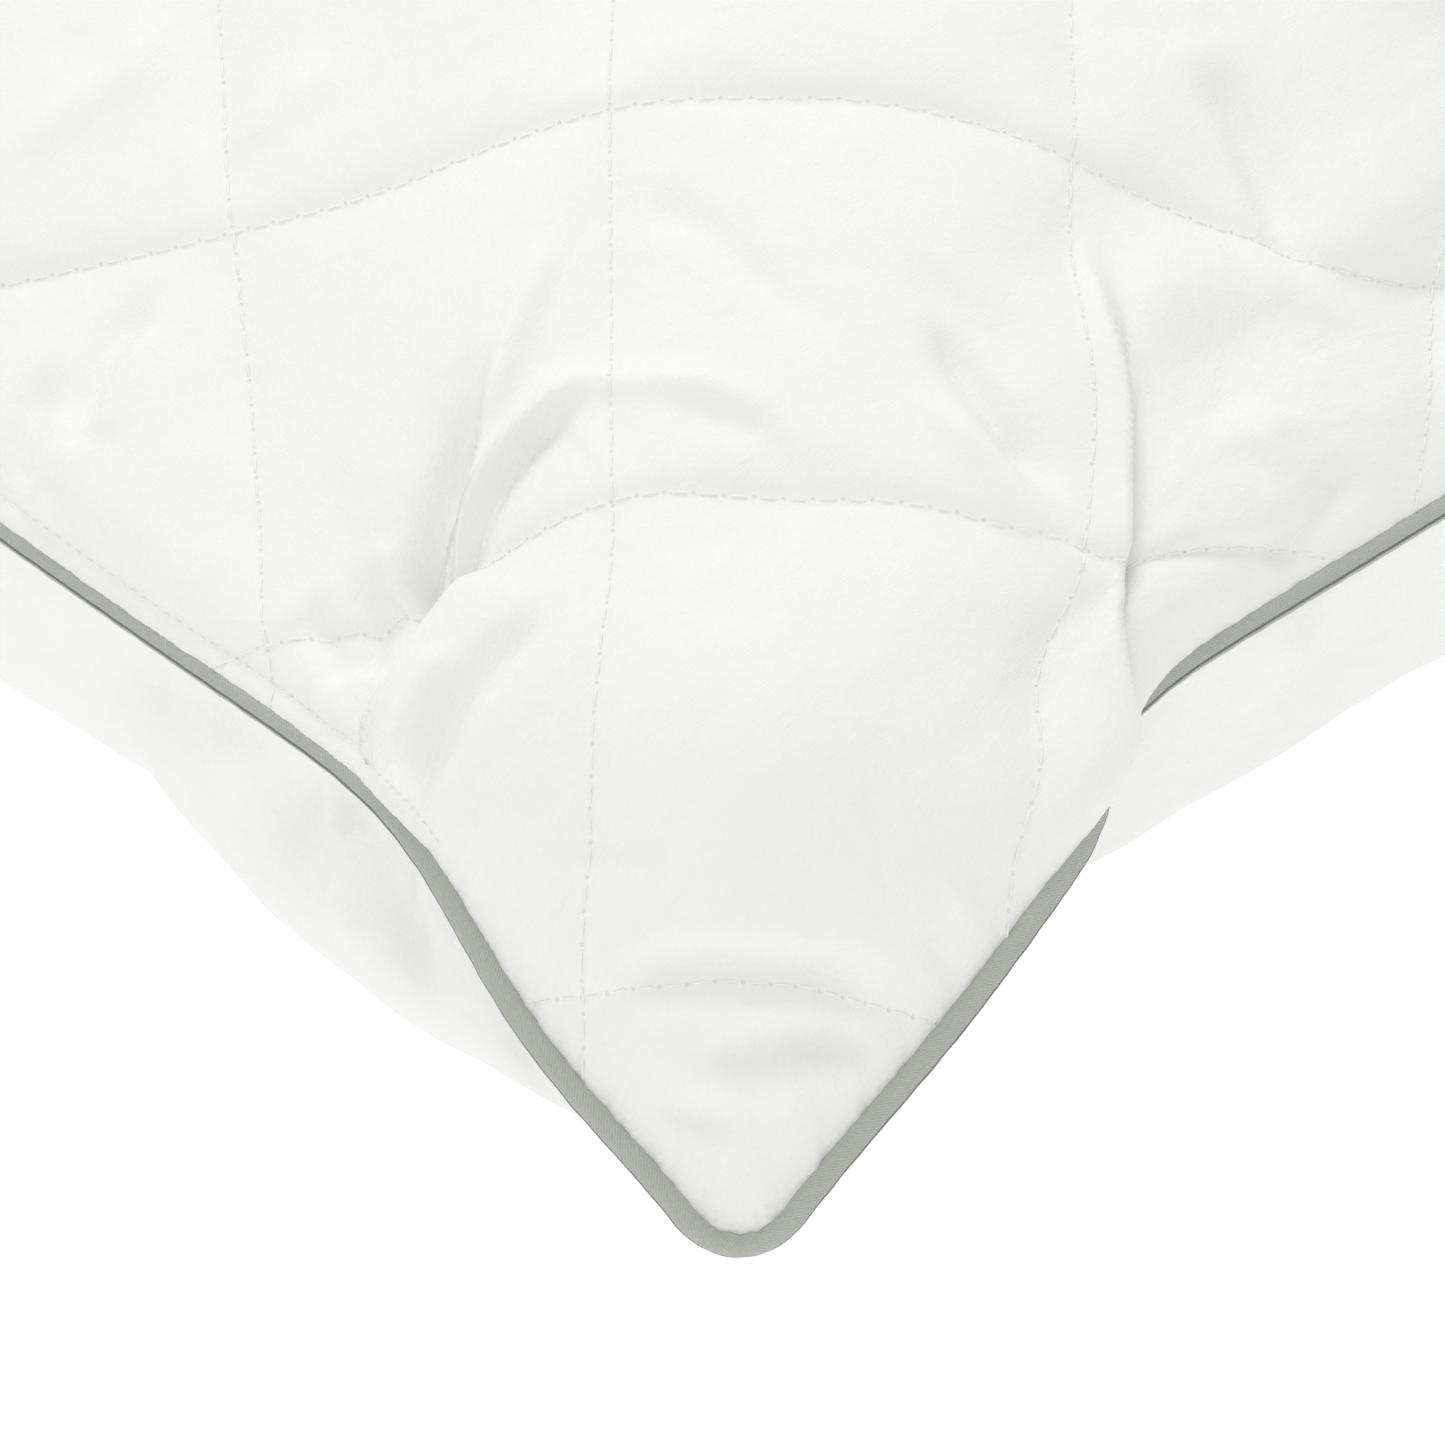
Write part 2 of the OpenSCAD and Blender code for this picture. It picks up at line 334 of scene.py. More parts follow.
def slide(x, y):
    """Where fabric places end up on the solved shape.

    Beside the ear at the front right corner, the cloth has slid towards that corner and off to the right.
    """
    inward, sideways = corner_places(x, y)
    near = window(inward, *SLIDE_WINDOW)
    inside = near * rise(edge_distance(x, y), *SLIDE_EDGE_SPAN)
    front = FRONT_SLIDE * rise(-sideways, *FRONT_SLIDE_SPAN) * near
    end = ROOT_HALF * END_SLIDE * rise(sideways, *END_SLIDE_SPAN) * inside
    spread = ROOT_HALF * EAR_SPREAD * window(sideways, *SPREAD_WINDOW) * inside
    ear = window(inward, *LINE_BOW_WINDOW)
    front_bow = FRONT_LINE_BOW * ear * rise(-sideways, *FRONT_BOW_SPAN)
    end_bow = END_LINE_BOW * ear * rise(sideways, *END_BOW_SPAN)
    return x + front + end + spread + front_bow, y - end + spread - end_bow


# ---- the cloth solver ----


def seam_run(from_corner):
    """How far from the tip the seam gets for that much of its length, in plan."""
    bend = SHORTENING_SHARPNESS * (1 - from_corner / EAR_REACH)
    return from_corner - EAR_SHORTENING * (1 - np.logaddexp(0, bend) / SHORTENING_SHARPNESS)


def seam_draw(from_corner, step, width, bow):
    """How far the seam is drawn in from a straight line between two tips."""
    middle = MIDDLE_DRAW * rise(from_corner, MIDDLE_START, HALF_LENGTH)
    pleat = step * rise(from_corner, PLEAT_PLACE, PLEAT_PLACE + width)
    return middle + pleat - bow * hump(from_corner, BOW_PLACE, BOW_REACH)


def broad_shape(x, y, top):
    """Where the filled pillow's cover lies before any creases, for the top or the underside."""
    from_end, from_side = HALF_LENGTH - np.abs(x), HALF_WIDTH - np.abs(y)
    end_line = TIP_X - seam_draw(from_side, END_PLEAT, PLEAT_WIDTH, END_BOW)
    side_line = TIP_Y - seam_draw(from_end, SIDE_STEP, SIDE_STEP_WIDTH, SIDE_BOW)
    plan_x = np.sign(x) * (1 - seam_run(from_end) / TIP_X) * end_line
    plan_y = np.sign(y) * (1 - seam_run(from_side) / TIP_Y) * side_line
    bend = (1 - (from_end + from_side) / EAR_REACH) / EAR_BEND_SOFTNESS
    middle = SEAM_HEIGHT - EAR_DROP * EAR_BEND_SOFTNESS * np.logaddexp(0, bend)
    past_pleat = rise(from_side, PLEAT_PLACE, PLEAT_PLACE + END_LIFT_WIDTH)
    middle = middle + END_LIFT * past_pleat * np.exp(-from_end / END_LIFT_FADE)
    # The added thousandth keeps the division below safe at the tips
    rounding = np.minimum(RIDGE_ROUNDING, RIDGE_ROUNDING_SHARE * (from_end + from_side)) + 0.001
    overlap = np.maximum(0, rounding - np.abs(from_end - from_side))
    from_edge = np.minimum(from_end, from_side) - overlap**2 / (4 * rounding)
    short_of_middle = 1 - np.clip(from_edge / HALF_WIDTH, 0, 1)
    if top:
        height = middle + TOP_RISE * (1 - short_of_middle**TOP_ROUNDNESS)
    else:
        height = np.maximum(0, middle - BOTTOM_FALL * (1 - short_of_middle**BOTTOM_ROUNDNESS))
    return np.stack([plan_x, plan_y, height], -1)


def belly(x, y):
    """How far the underside bulges out sideways below the seam."""
    from_end, from_side = HALF_LENGTH - np.abs(x), HALF_WIDTH - np.abs(y)
    bulges = []
    for edge, other, most in ((from_end, from_side, END_BELLY), (from_side, from_end, SIDE_BELLY)):
        across = window(edge, *BELLY_WINDOW)
        along = FAR_BELLY + (1 - FAR_BELLY) * hump(other, BELLY_PLACE, BELLY_REACH)
        bulges.append(most * across * along * rise(other, *BELLY_TIP_SPAN))
    return np.stack([np.sign(x) * bulges[0], np.sign(y) * bulges[1], np.zeros(x.shape)], -1)


def box_blur(field, reach):
    """The field averaged over a square of cells, with its edges held."""
    for axis in (0, 1):
        margin = [(0, 0)] * field.ndim
        margin[axis] = (reach + 1, reach)
        sums = np.cumsum(np.pad(field, margin, mode="edge"), axis=axis)
        count = field.shape[axis]
        upper = np.take(sums, np.arange(count) + 2 * reach + 1, axis=axis)
        lower = np.take(sums, np.arange(count), axis=axis)
        field = (upper - lower) / (2 * reach + 1)
    return field


def hold_length(a, b, length, stiffness):
    """Moves two sets of points until each pair is its own length of cloth apart."""
    gap = b - a
    distance = np.sqrt((gap * gap).sum(-1, keepdims=True)) + NEARLY_ZERO
    move = gap * (0.5 * stiffness * (distance - length) / distance)
    a += move
    b -= move


def hold_straight(a, b, c, stiffness):
    """Moves three neighbouring points towards one line."""
    move = (a - 2 * b + c) * (stiffness / 6)
    a -= move
    c -= move
    b += 2 * move


def hold_cloth(points, step, bending):
    """One pass over the threads, the diagonals and the bends of a panel."""
    both_ways = (points.swapaxes(0, 1), points)
    for first in (0, 1):
        for grid in both_ways:
            end = first + 2 * ((len(grid) - first) // 2)
            near, far = grid[first:end:2], grid[first + 1 : end : 2]
            hold_length(near, far, step, 1)
        hold_length(near[:, :-1], far[:, 1:], step / ROOT_HALF, SHEAR_STIFFNESS)
        hold_length(near[:, 1:], far[:, :-1], step / ROOT_HALF, SHEAR_STIFFNESS)
    for first in (0, 1, 2):
        for grid in both_ways:
            end = first + 3 * ((len(grid) - first) // 3)
            part = grid[first:end]
            hold_straight(part[0::3], part[1::3], part[2::3], bending)


def unit(vectors):
    """Vectors made one long."""
    return vectors / (np.linalg.norm(vectors, axis=-1, keepdims=True) + NEARLY_ZERO)


def grid_normals(points):
    """The upward normals of a grid of points."""
    return unit(np.cross(np.gradient(points, axis=1), np.gradient(points, axis=0)))


def fabric_grid(step):
    """The fabric places of a solver grid with that step."""
    x = np.linspace(-HALF_LENGTH, HALF_LENGTH, round(2 * HALF_LENGTH / step) + 1)
    y = np.linspace(-HALF_WIDTH, HALF_WIDTH, round(2 * HALF_WIDTH / step) + 1)
    return np.meshgrid(x, y)


def solve_cover(step, rounds, guide_reach, panels=None):
    """The two panels of the cover, blown up by the filling, sewn at the edge and resting on the table.

    The panels are guided in height, and in plan only near the seam, so the cloth finds its own way between
    at its own length.
    """
    x, y = fabric_grid(step)
    goals = [broad_shape(x, y, True), broad_shape(x, y, False)]
    if panels is None:
        random = np.random.default_rng(NOISE_SEED)
        panels = [goal + START_NOISE * box_blur(random.normal(0, 1, goal.shape), 1) for goal in goals]
    seam = np.ones(x.shape, bool)
    seam[1:-1, 1:-1] = False
    edge_hold = GUIDE_STRENGTH * np.exp(-edge_distance(x, y) / EDGE_GUIDE_REACH)[..., None]
    before = [panel.copy() for panel in panels]
    sides = list(zip(panels, before, goals, (1, -1), (TOP_BENDING, BOTTOM_BENDING)))
    for _ in range(rounds):
        for panel, old, goal, outward, _ in sides:
            drift = (panel - old) * MOMENTUM
            old[:] = panel
            panel += drift + grid_normals(panel) * (outward * PRESSURE * step)
            if outward > 0:
                panel[..., :2] += edge_hold * box_blur(goal - panel, 1)[..., :2]
            short_of = goal[..., 2] - panel[..., 2]
            panel[..., 2] += GUIDE_STRENGTH * box_blur(short_of, round(guide_reach / step))
            panel[seam] += SEAM_GUIDE * (goal[seam] - panel[seam])
        for _ in range(PASSES):
            for panel, _, _, _, bending in sides:
                hold_cloth(panel, step, bending)
            shared = (panels[0][seam] + panels[1][seam]) / 2
            for panel in panels:
                panel[seam] = shared
                panel[..., 2] = np.maximum(panel[..., 2], 0)
    return panels


def ease_pleats(panel):
    """Evens out the top beside the ears, where the slack would end in a small sharp kink."""
    x, y = fabric_grid(FINE_STEP)
    inward, sideways = corner_places(np.abs(x), -np.abs(y))
    even = panel
    for _ in range(EASING_ROUNDS):
        even = box_blur(even, EASING_CELLS)
    off_inward = (inward - EASED_INWARD[0]) / EASED_INWARD[1]
    off_sideways = (sideways - EASED_SIDEWAYS[0]) / EASED_SIDEWAYS[1]
    share = np.exp(-(off_inward**4) - off_sideways**4) * rise(edge_distance(x, y), *EASED_EDGE_SPAN)
    panel += (even - panel) * share[..., None]


def refine(points):
    """A grid with a row and a column between each two of the old one."""
    for axis in (0, 1):
        points = np.moveaxis(points, axis, 0)
        finer = np.repeat(points, 2, axis=0)[:-1]
        finer[1::2] = (points[:-1] + points[1:]) / 2
        points = np.moveaxis(finer, 0, axis)
    return points


class SmoothGrid:
    """Grid values that can be read at any fabric place, by cubic interpolation."""

    def __init__(self, values, step):
        margin = [(1, 1), (1, 1)] + [(0, 0)] * (values.ndim - 2)
        self.values = np.pad(values, margin, mode="reflect", reflect_type="odd")
        self.step = step

    def _cells(self, place, half_size, count):
        """The first of the four grid lines round a place, and their four weights."""
        scaled = (place + half_size) / self.step
        first = np.clip(np.floor(scaled).astype(int), 0, count - 4)
        t = scaled - first
        weights = (
            ((2 - t) * t - 1) * t / 2,
            ((3 * t - 5) * t * t + 2) / 2,
            ((4 - 3 * t) * t + 1) * t / 2,
            (t - 1) * t * t / 2,
        )
        return first, weights

    def at(self, x, y):
        """The value at a fabric place."""
        rows, columns = self.values.shape[:2]
        column, across = self._cells(x, HALF_LENGTH, columns)
        row, down = self._cells(y, HALF_WIDTH, rows)
        total = 0
        for i in range(4):
            for j in range(4):
                weight = across[i] * down[j]
                if self.values.ndim == 3:
                    weight = weight[..., None]
                total = total + weight * self.values[row + j, column + i]
        return total


def noise_field(cell, seed):
    """A smooth random field over the fabric, about 1 high, with bumps of that size."""
    x, _ = fabric_grid(cell)
    random = np.random.default_rng(seed)
    return SmoothGrid(random.normal(0, 1, x.shape), cell)


# ---- creases and quilting ----


def beside(path, inward, sideways):
    """Signed distance from a bent line, + on its left, and how far along it the nearest place is, 0 to 1."""
    path = np.array(path, float)
    lengths = np.linalg.norm(np.diff(path, axis=0), axis=1)
    starts = np.concatenate([[0], np.cumsum(lengths)])
    best = np.full(inward.shape, np.inf)
    signed = np.zeros(inward.shape)
    progress = np.zeros(inward.shape)
    for k, length in enumerate(lengths):
        direction = (path[k + 1] - path[k]) / length
        off_d, off_w = inward - path[k, 0], sideways - path[k, 1]
        run = np.clip(off_d * direction[0] + off_w * direction[1], 0, length)
        distance = np.hypot(off_d - run * direction[0], off_w - run * direction[1])
        side = np.where(direction[0] * off_w - direction[1] * off_d >= 0, 1, -1)
        nearer = distance < best
        best = np.where(nearer, distance, best)
        signed = np.where(nearer, side * distance, signed)
        progress = np.where(nearer, (starts[k] + run) / starts[-1], progress)
    return signed, progress


def fading(progress, start, end):
    """Full height along a crease, easing to nothing over these shares of its length at its two ends."""
    growing = rise(progress, 0, start) if start else 1
    shrinking = rise(1 - progress, 0, end) if end else 1
    return growing * shrinking


def ridge(path, height, width, start, end):
    """A rounded ridge, or a valley when height is negative."""

    def relief(inward, sideways):
        off, progress = beside(path, inward, sideways)
        return height * hump(off, 0, width) * fading(progress, start, end)

    return relief


def fold(path, high, low, high_reach, low_reach, width, start, end):
    """A step between a raised lip, on the line's left, and a trough, on its right."""

    def relief(inward, sideways):
        off, progress = beside(path, inward, sideways)
        lip = high * np.exp(-np.maximum(off, 0) / high_reach)
        trough = -low * np.exp(-np.maximum(-off, 0) / low_reach)
        share = rise(off, -width, width)
        return (trough + (lip - trough) * share) * fading(progress, start, end)

    return relief


# Creases of the cover, as paths of (inward, sideways) places in millimetres from a corner. The last two
# numbers of each are the shares of its length over which it grows at its start and dies away at its end.

# Steps between a raised lip and a trough: their heights, how far each reaches, and the width of the step.
# The first two are the two edges of the ear.
TOP_FOLDS = (
    ([(66, -69), (74, -67), (80, -66), (87, -62), (95, -57), (102, -51), (112, -44)],
     2.6, 7.0, 12, 7, 2.8, 0, 0.3),
    ([(170, 60), (158, 63), (140, 65), (121, 67), (106, 68), (91, 69), (80, 69), (68, 69)],
     2.0, 6.5, 12, 6, 2.4, 0.2, 0),
    ([(97, -58), (100, -56), (110, -50), (119, -47), (135, -44), (146, -41)],
     2.4, 7.5, 3.5, 6.5, 1.8, 0.15, 0.4),
    ([(132, -26), (130, -32), (126, -37), (120, -42), (111, -47), (102, -52)],
     2.2, 6.0, 3.5, 5.5, 1.8, 0.3, 0.15),
)

# Rounded ridges, or valleys where the height is negative: height and width. They run beside the ear, across
# it and into the crown.
TOP_RIDGES = (
    ([(97, -61), (100, -59), (110, -55), (123, -50), (135, -46)], -4.5, 3.2, 0.15, 0.4),
    ([(124, -44), (136, -41), (153, -36), (168, -32)], 2.6, 2.6, 0.3, 0.5),
    ([(129, -38), (134, -28), (134, -22), (132, -7), (128, 3), (120, 11)], 2.2, 3.0, 0.2, 0.35),
    ([(130, -17), (124, 3), (117, 9), (109, 15)], -1.1, 3.6, 0.3, 0.35),
    ([(113, -64), (107, -62), (97, -61)], 1.8, 2.4, 0.3, 0.2),
    ([(110, -67), (99, -66), (88, -68)], -3.2, 3.0, 0.35, 0.2),
    ([(94, -31), (87, -41), (80, -48), (70, -54), (62, -57)], -3.8, 3.2, 0.3, 0.3),
    ([(90, -50), (78, -57), (67, -60)], 2.6, 2.8, 0.3, 0.2),
    ([(148, 30), (141, 35), (127, 45), (112, 56)], -4.4, 3.6, 0.3, 0.35),
    ([(134, 29), (117, 45), (103, 56), (95, 64)], 2.4, 3.4, 0.3, 0.2),
    ([(171, -20), (163, -8), (152, 3), (138, 18)], -1.6, 3.8, 0.2, 0.45),
    ([(164, 18), (150, 32), (135, 58)], -1.8, 4.6, 0.4, 0.4),
    ([(37.8, 29), (40, 18), (41.4, 6), (41.8, -8), (41, -23)], -3.6, 2.3, 0.3, 0.3),
    ([(34, 22), (35.6, 8), (36.4, -8), (36, -24)], 0.9, 2.2, 0.3, 0.3),
    ([(28, -9), (30, 3), (31, 10), (31, 19), (28, 25)], -2.9, 2.4, 0.35, 0.3),
    ([(23, 0), (27, 14), (28, 26)], 1.8, 2.8, 0.35, 0.1),
    ([(23, -16), (20, 2)], -2.2, 2.6, 0.35, 0.35),
    ([(57, -30), (57, -6)], -1.2, 3.4, 0.35, 0.35),
    ([(215, 72), (197, 81), (177, 90), (165, 95), (157, 117)], 1.8, 4.4, 0.25, 0.35),
    ([(208, 75), (192, 87), (176, 95), (165, 101)], -4.4, 5.4, 0.25, 0.35),
    ([(134, 113), (116, 104), (106, 100)], -2.6, 3.6, 0.3, 0.2),
    ([(140, 98), (124, 93)], 1.6, 5.0, 0.35, 0.35),
    ([(174, -106), (156, -112), (139, -118)], -3.6, 4.0, 0.35, 0.25),
    ([(165, -105), (141, -114)], 2.2, 3.4, 0.35, 0.2),
    ([(152, -118), (131, -123)], 2.2, 3.4, 0.35, 0.2),
    ([(161, -121), (146, -126), (134, -128)], -3.0, 4.0, 0.35, 0.25),
    ([(107, -82), (91, -77), (78, -72)], 1.1, 3.2, 0.25, 0.15),
    ([(105, -78), (87, -71)], -2.2, 3.4, 0.3, 0.2),
    ([(56, 33), (44, 42)], 1.1, 2.2, 0.35, 0.0),
    ([(48, 30), (40, 37)], -1.0, 2.0, 0.35, 0.0),
    ([(230, -105), (213, -110), (206, -122), (200, -134)], 2.4, 5.2, 0.35, 0.35),
    ([(209, -70), (192, -92)], 1.8, 5.2, 0.4, 0.35),
)

# Slack folds that hang from the seam on the underside
UNDERSIDE_RIDGES = (
    ([(72, -66), (76, -52), (70, -34)], -2.6, 3.6, 0.2, 0.5),
    ([(78, -70), (86, -56), (88, -40)], 2.2, 4.2, 0.2, 0.5),
    ([(86, -80), (93, -72), (99, -64)], -2.4, 4.8, 0.3, 0.7),
    ([(98, -90), (106, -83), (114, -76)], 1.2, 6.0, 0.3, 0.7),
    ([(112, -106), (124, -98)], -1.2, 6.0, 0.3, 0.7),
    ([(134, -126), (146, -112)], 1.0, 7.0, 0.3, 0.7),
    ([(48, -42), (52, -30), (50, -18)], -1.6, 3.4, 0.25, 0.5),
    ([(92, 86), (104, 70)], -1.6, 4.6, 0.3, 0.5),
    ([(112, 106), (128, 86)], 1.4, 5.6, 0.3, 0.5),
)

TOP_CREASES = [fold(*row) for row in TOP_FOLDS] + [ridge(*row) for row in TOP_RIDGES]
UNDERSIDE_CREASES = [ridge(*row) for row in UNDERSIDE_RIDGES]

# Each corner: which end and side it is at, how deep its creases are and how far they reach
CORNERS = ((1, -1, 1.0, 1.0), (1, 1, 0.5, 1.12), (-1, -1, 0.55, 1.0), (-1, 1, 0.45, 1.05))


def quilting(inward, sideways):
    """How far the wadding puffs the top up between the quilting lines, and rolls over the cross lines."""
    off_lines = []
    for place, first in ((inward, FIRST_CROSS_LINE), (sideways, FIRST_ALONG_LINE)):
        phase = (place - first) / QUILT_PITCH
        off_lines.append((phase - np.round(phase)) * QUILT_PITCH)
    puff = PUFF_HEIGHT
    for off in off_lines:
        puff = puff * (1 - np.exp(-(np.sqrt(off**2 + LINE_SOFTNESS**2) - LINE_SOFTNESS) / PUFF_REACH))
    above_line = np.maximum(off_lines[0], 0)
    roll = ROLL_HEIGHT * (1 - np.exp(-above_line / ROLL_REACH))
    return puff + roll * np.exp(-above_line / PUFF_REACH)


def crease_height(creases, x, y):
    """Height of those creases at all four corners, for fabric places or places on the broad shape."""
    total = np.zeros(x.shape)
    for along, across, share, reach in CORNERS:
        inward, sideways = corner_places(x, y, along, across)
        near = inward < CREASE_FIELD * reach
        inward, sideways = inward[near] / reach, sideways[near] / reach
        if along * across > 0:
            sideways = -sideways
        total[near] += share * sum(crease(inward, sideways) for crease in creases)
    return total


def rolled_hem(x, y):
    """The roll of cloth along the front seam outside the closing stitches, and their groove."""
    from_side = HALF_WIDTH + y
    from_start = HALF_LENGTH - CLOSING_START - x
    share = rise(from_start, 0, HEM_FADE) * rise(CLOSING_LENGTH - from_start, 0, HEM_FADE)
    roll = HEM_HEIGHT * hump(from_side, HEM_PLACE * CLOSING_INSET, HEM_REACH)
    groove = HEM_GROOVE * hump(from_side, CLOSING_INSET, GROOVE_REACH)
    return (roll - groove) * share


def puckers(x, y):
    """Short folds of the cloth where it is gathered into the seam, deepest round the tips."""
    edge = edge_distance(x, y)
    inward = HALF_LENGTH + HALF_WIDTH - np.abs(x) - np.abs(y)
    depth = PUCKER_DEPTH * (PUCKER_SHARE_FAR + np.exp(-inward / PUCKER_FADE))
    depth = depth * hump(edge, 0, PUCKER_REACH) * rise(edge, *PUCKER_EDGE_SPAN)
    run = np.abs(x) - np.abs(y)
    return depth * sum(share * np.sin(run / length + start) for share, length, start in PUCKER_WAVES)


def top_relief(x, y, shape_x, shape_y):
    """Height of the quilting over the fabric, and of the creases over the solved top."""
    edge = edge_distance(x, y)
    total = quilting(*corner_places(x, y)) * rise(edge, *QUILT_EDGE_SPAN)
    total = total + crease_height(TOP_CREASES, shape_x, shape_y) * rise(edge, *CREASE_EDGE_SPAN)
    total = total + rolled_hem(x, y) + puckers(x, y)
    welt = 1 - np.exp(-np.maximum(edge, 0) / WELT_RISE)
    total = total + WELT_HEIGHT * welt * hump(edge, 0, WELT_REACH)
    total = total + WAVE_HEIGHT * WAVES.at(x, y) * rise(edge, *WAVE_EDGE_SPAN)
    return total + RIPPLE_HEIGHT * RIPPLES.at(x, y) * rise(edge, *RIPPLE_EDGE_SPAN)


def bottom_relief(x, y):
    """Height of the slack folds over the solved underside."""
    total = UNDERSIDE_WAVES * WAVE_HEIGHT * WAVES.at(-x, y) + RIPPLE_HEIGHT * RIPPLES.at(-x, y)
    total = total + UNDERSIDE_DEPTH * crease_height(UNDERSIDE_CREASES, x, y)
    return total * rise(edge_distance(x, y), *WAVE_EDGE_SPAN)


# ---- the finished surfaces ----


def sewn_panels(x, y):
    """The solved top and underside at a place, brought together at the rounded seam."""
    top, bottom = TOP.at(x, y), BOTTOM.at(x, y)
    middle, half_gap = (top + bottom) / 2, (top - bottom) / 2
    opening = (1 - np.exp(-np.maximum(edge_distance(x, y), 0) / SEAM_ROUNDING))[..., None]
    return middle + half_gap * opening, middle - half_gap * opening


def overhang(x, y):
    """How far the near ear's puffed side stands out sideways, over the seam and along the lobe above."""
    inward, sideways = corner_places(x, y)
    edge = edge_distance(x, y)
    bulge = hump(inward, OVERHANG_PLACE, OVERHANG_REACH) * rise(sideways, *OVERHANG_SIDE_SPAN)
    at_seam = OVERHANG * bulge * (1 - np.exp(-edge / OVERHANG_RISE)) * np.exp(-edge / OVERHANG_FALL)
    lobe = window(inward, *LOBE_WINDOW)
    reach = np.where(sideways < LOBE_LINE, LOBE_INNER_REACH, LOBE_OUTER_REACH)
    return at_seam + LOBE_OVERHANG * lobe * hump(sideways, LOBE_LINE, reach) * rise(edge, *LOBE_EDGE_SPAN)


def smooth_normals(x, y, top):
    """Outward normals of a sewn panel."""
    nudge = 1.0
    which = 0 if top else 1
    x = np.clip(x, -HALF_LENGTH + nudge, HALF_LENGTH - nudge)
    y = np.clip(y, -HALF_WIDTH + nudge, HALF_WIDTH - nudge)
    run_x = sewn_panels(x + nudge, y)[which] - sewn_panels(x - nudge, y)[which]
    run_y = sewn_panels(x, y + nudge)[which] - sewn_panels(x, y - nudge)[which]
    normals = unit(np.cross(run_x, run_y))
    return normals if top else -normals


def cover_surface(x, y, top):
    """Points of the finished cover, millimetres, and the normals of its broad shape."""
    shape_x, shape_y = slide(x, y) if top else (x, y)
    normals = smooth_normals(shape_x, shape_y, top)
    relief = top_relief(x, y, shape_x, shape_y) if top else bottom_relief(x, y)
    points = sewn_panels(shape_x, shape_y)[0 if top else 1] + normals * relief[..., None]
    if top:
        points = points + overhang(shape_x, shape_y)[..., None] * SIDEWAYS
    points[..., 2] = np.maximum(points[..., 2], 0)
    return points, normals


def graded_places(length, from_fine, fine_step, coarse_step):
    """Places from 0 to just past a length, close together where from_fine of a place is small."""
    places = [0.0]
    while places[-1] < length:
        share = float(rise(from_fine(places[-1]), FINE_LENGTH, FINE_LENGTH + GRADE_LENGTH))
        places.append(places[-1] + fine_step + (coarse_step - fine_step) * share)
    return np.array(places)


def graded_line(half_size, fine_end, fine_step, coarse_step):
    """Grid places from one edge to the other, close together for some way from one end (+1 or -1)."""
    places = graded_places(2 * half_size, lambda place: place, fine_step, coarse_step)
    places = places * (2 * half_size / places[-1])
    return np.sort(fine_end * (half_size - places))


# ---- meshes ----


def new_object(name, points, faces, fields=None):
    """A smooth-shaded mesh from points in millimetres, with point fields the materials read."""
    mesh = bpy.data.meshes.new(name)
    mesh.from_pydata((np.asarray(points).reshape(-1, 3) * MM).tolist(), [], faces)
    for field, values in (fields or {}).items():
        layer = mesh.attributes.new(field, "FLOAT_VECTOR", "POINT")
        layer.data.foreach_set("vector", np.ascontiguousarray(values, np.float32).ravel())
    mesh.polygons.foreach_set("use_smooth", [True] * len(mesh.polygons))
    mesh.update()
    piece = bpy.data.objects.new(name, mesh)
    bpy.context.scene.collection.objects.link(piece)
    return piece


def grid_faces(rows, columns, first=0, flip=False, ring=False):
    """Quads of a grid of points numbered row by row; ring joins the last column to the first."""
    number = first + np.arange(rows * columns).reshape(rows, columns)
    if ring:
        number = np.concatenate([number, number[:, :1]], axis=1)
    a, b, c, d = number[:-1, :-1], number[:-1, 1:], number[1:, 1:], number[1:, :-1]
    order = (a, d, c, b) if flip else (a, b, c, d)
    return np.stack([part.ravel() for part in order], 1).tolist()


def cover_piece(name, top, mesh_steps):
    """One panel of the cover as an open sheet that ends in the seam."""
    lines = graded_line(HALF_LENGTH, 1, *mesh_steps), graded_line(HALF_WIDTH, -1, *mesh_steps)
    x, y = round_corners(*np.meshgrid(*lines))
    points, _ = cover_surface(x, y, top)
    inward, sideways = corner_places(x, y)
    fields = {
        "fabric": np.stack([x, y, edge_distance(x, y)], -1),
        "quilt": np.stack([inward, sideways, np.zeros_like(x)], -1),
    }
    return new_object(name, points, grid_faces(*x.shape, flip=not top), fields)


def spokes(sideways, up, sides):
    """Directions round a tube from its two cross directions, and their angles."""
    angle = np.arange(sides) * (2 * math.pi / sides)
    return sideways[..., None, :] * np.cos(angle)[:, None] + up[..., None, :] * np.sin(angle)[:, None], angle


def tubes(centres, normals, radii, sides):
    """Points and faces of many closed tubes: centres and normals are tubes by rings by 3, radii by ring."""
    count, rings = centres.shape[:2]
    along = unit(np.gradient(centres, axis=1))
    side = unit(np.cross(along, normals))
    around, _ = spokes(side, np.cross(side, along), sides)
    points = centres[:, :, None] + around * radii[:, None, None]
    faces = []
    for k in range(count):
        first = k * rings * sides
        faces += grid_faces(rings, sides, first, ring=True, flip=True)
        faces.append([first + i for i in range(sides)])
        faces.append([first + (rings - 1) * sides + sides - 1 - i for i in range(sides)])
    return points.reshape(-1, 3), faces


def stitch_row(name, x, y, heading, length, radius):
    """Stitches at those fabric places along a heading, each a thread that dives into the top at its ends."""
    steps = np.linspace(-0.5, 0.5, STITCH_RINGS)
    row_x = x[:, None] + heading[0] * steps * length
    row_y = y[:, None] + heading[1] * steps * length
    points, normals = cover_surface(row_x, row_y, True)
    lift = radius * (STITCH_LIFT - STITCH_DIVE * np.abs(2 * steps) ** 4)
    radii = radius * (1 - STITCH_TAPER * np.abs(2 * steps) ** 3)
    return new_object(name, *tubes(points + normals * lift[:, None], normals, radii, STITCH_SIDES))


# ---- the pieces ----


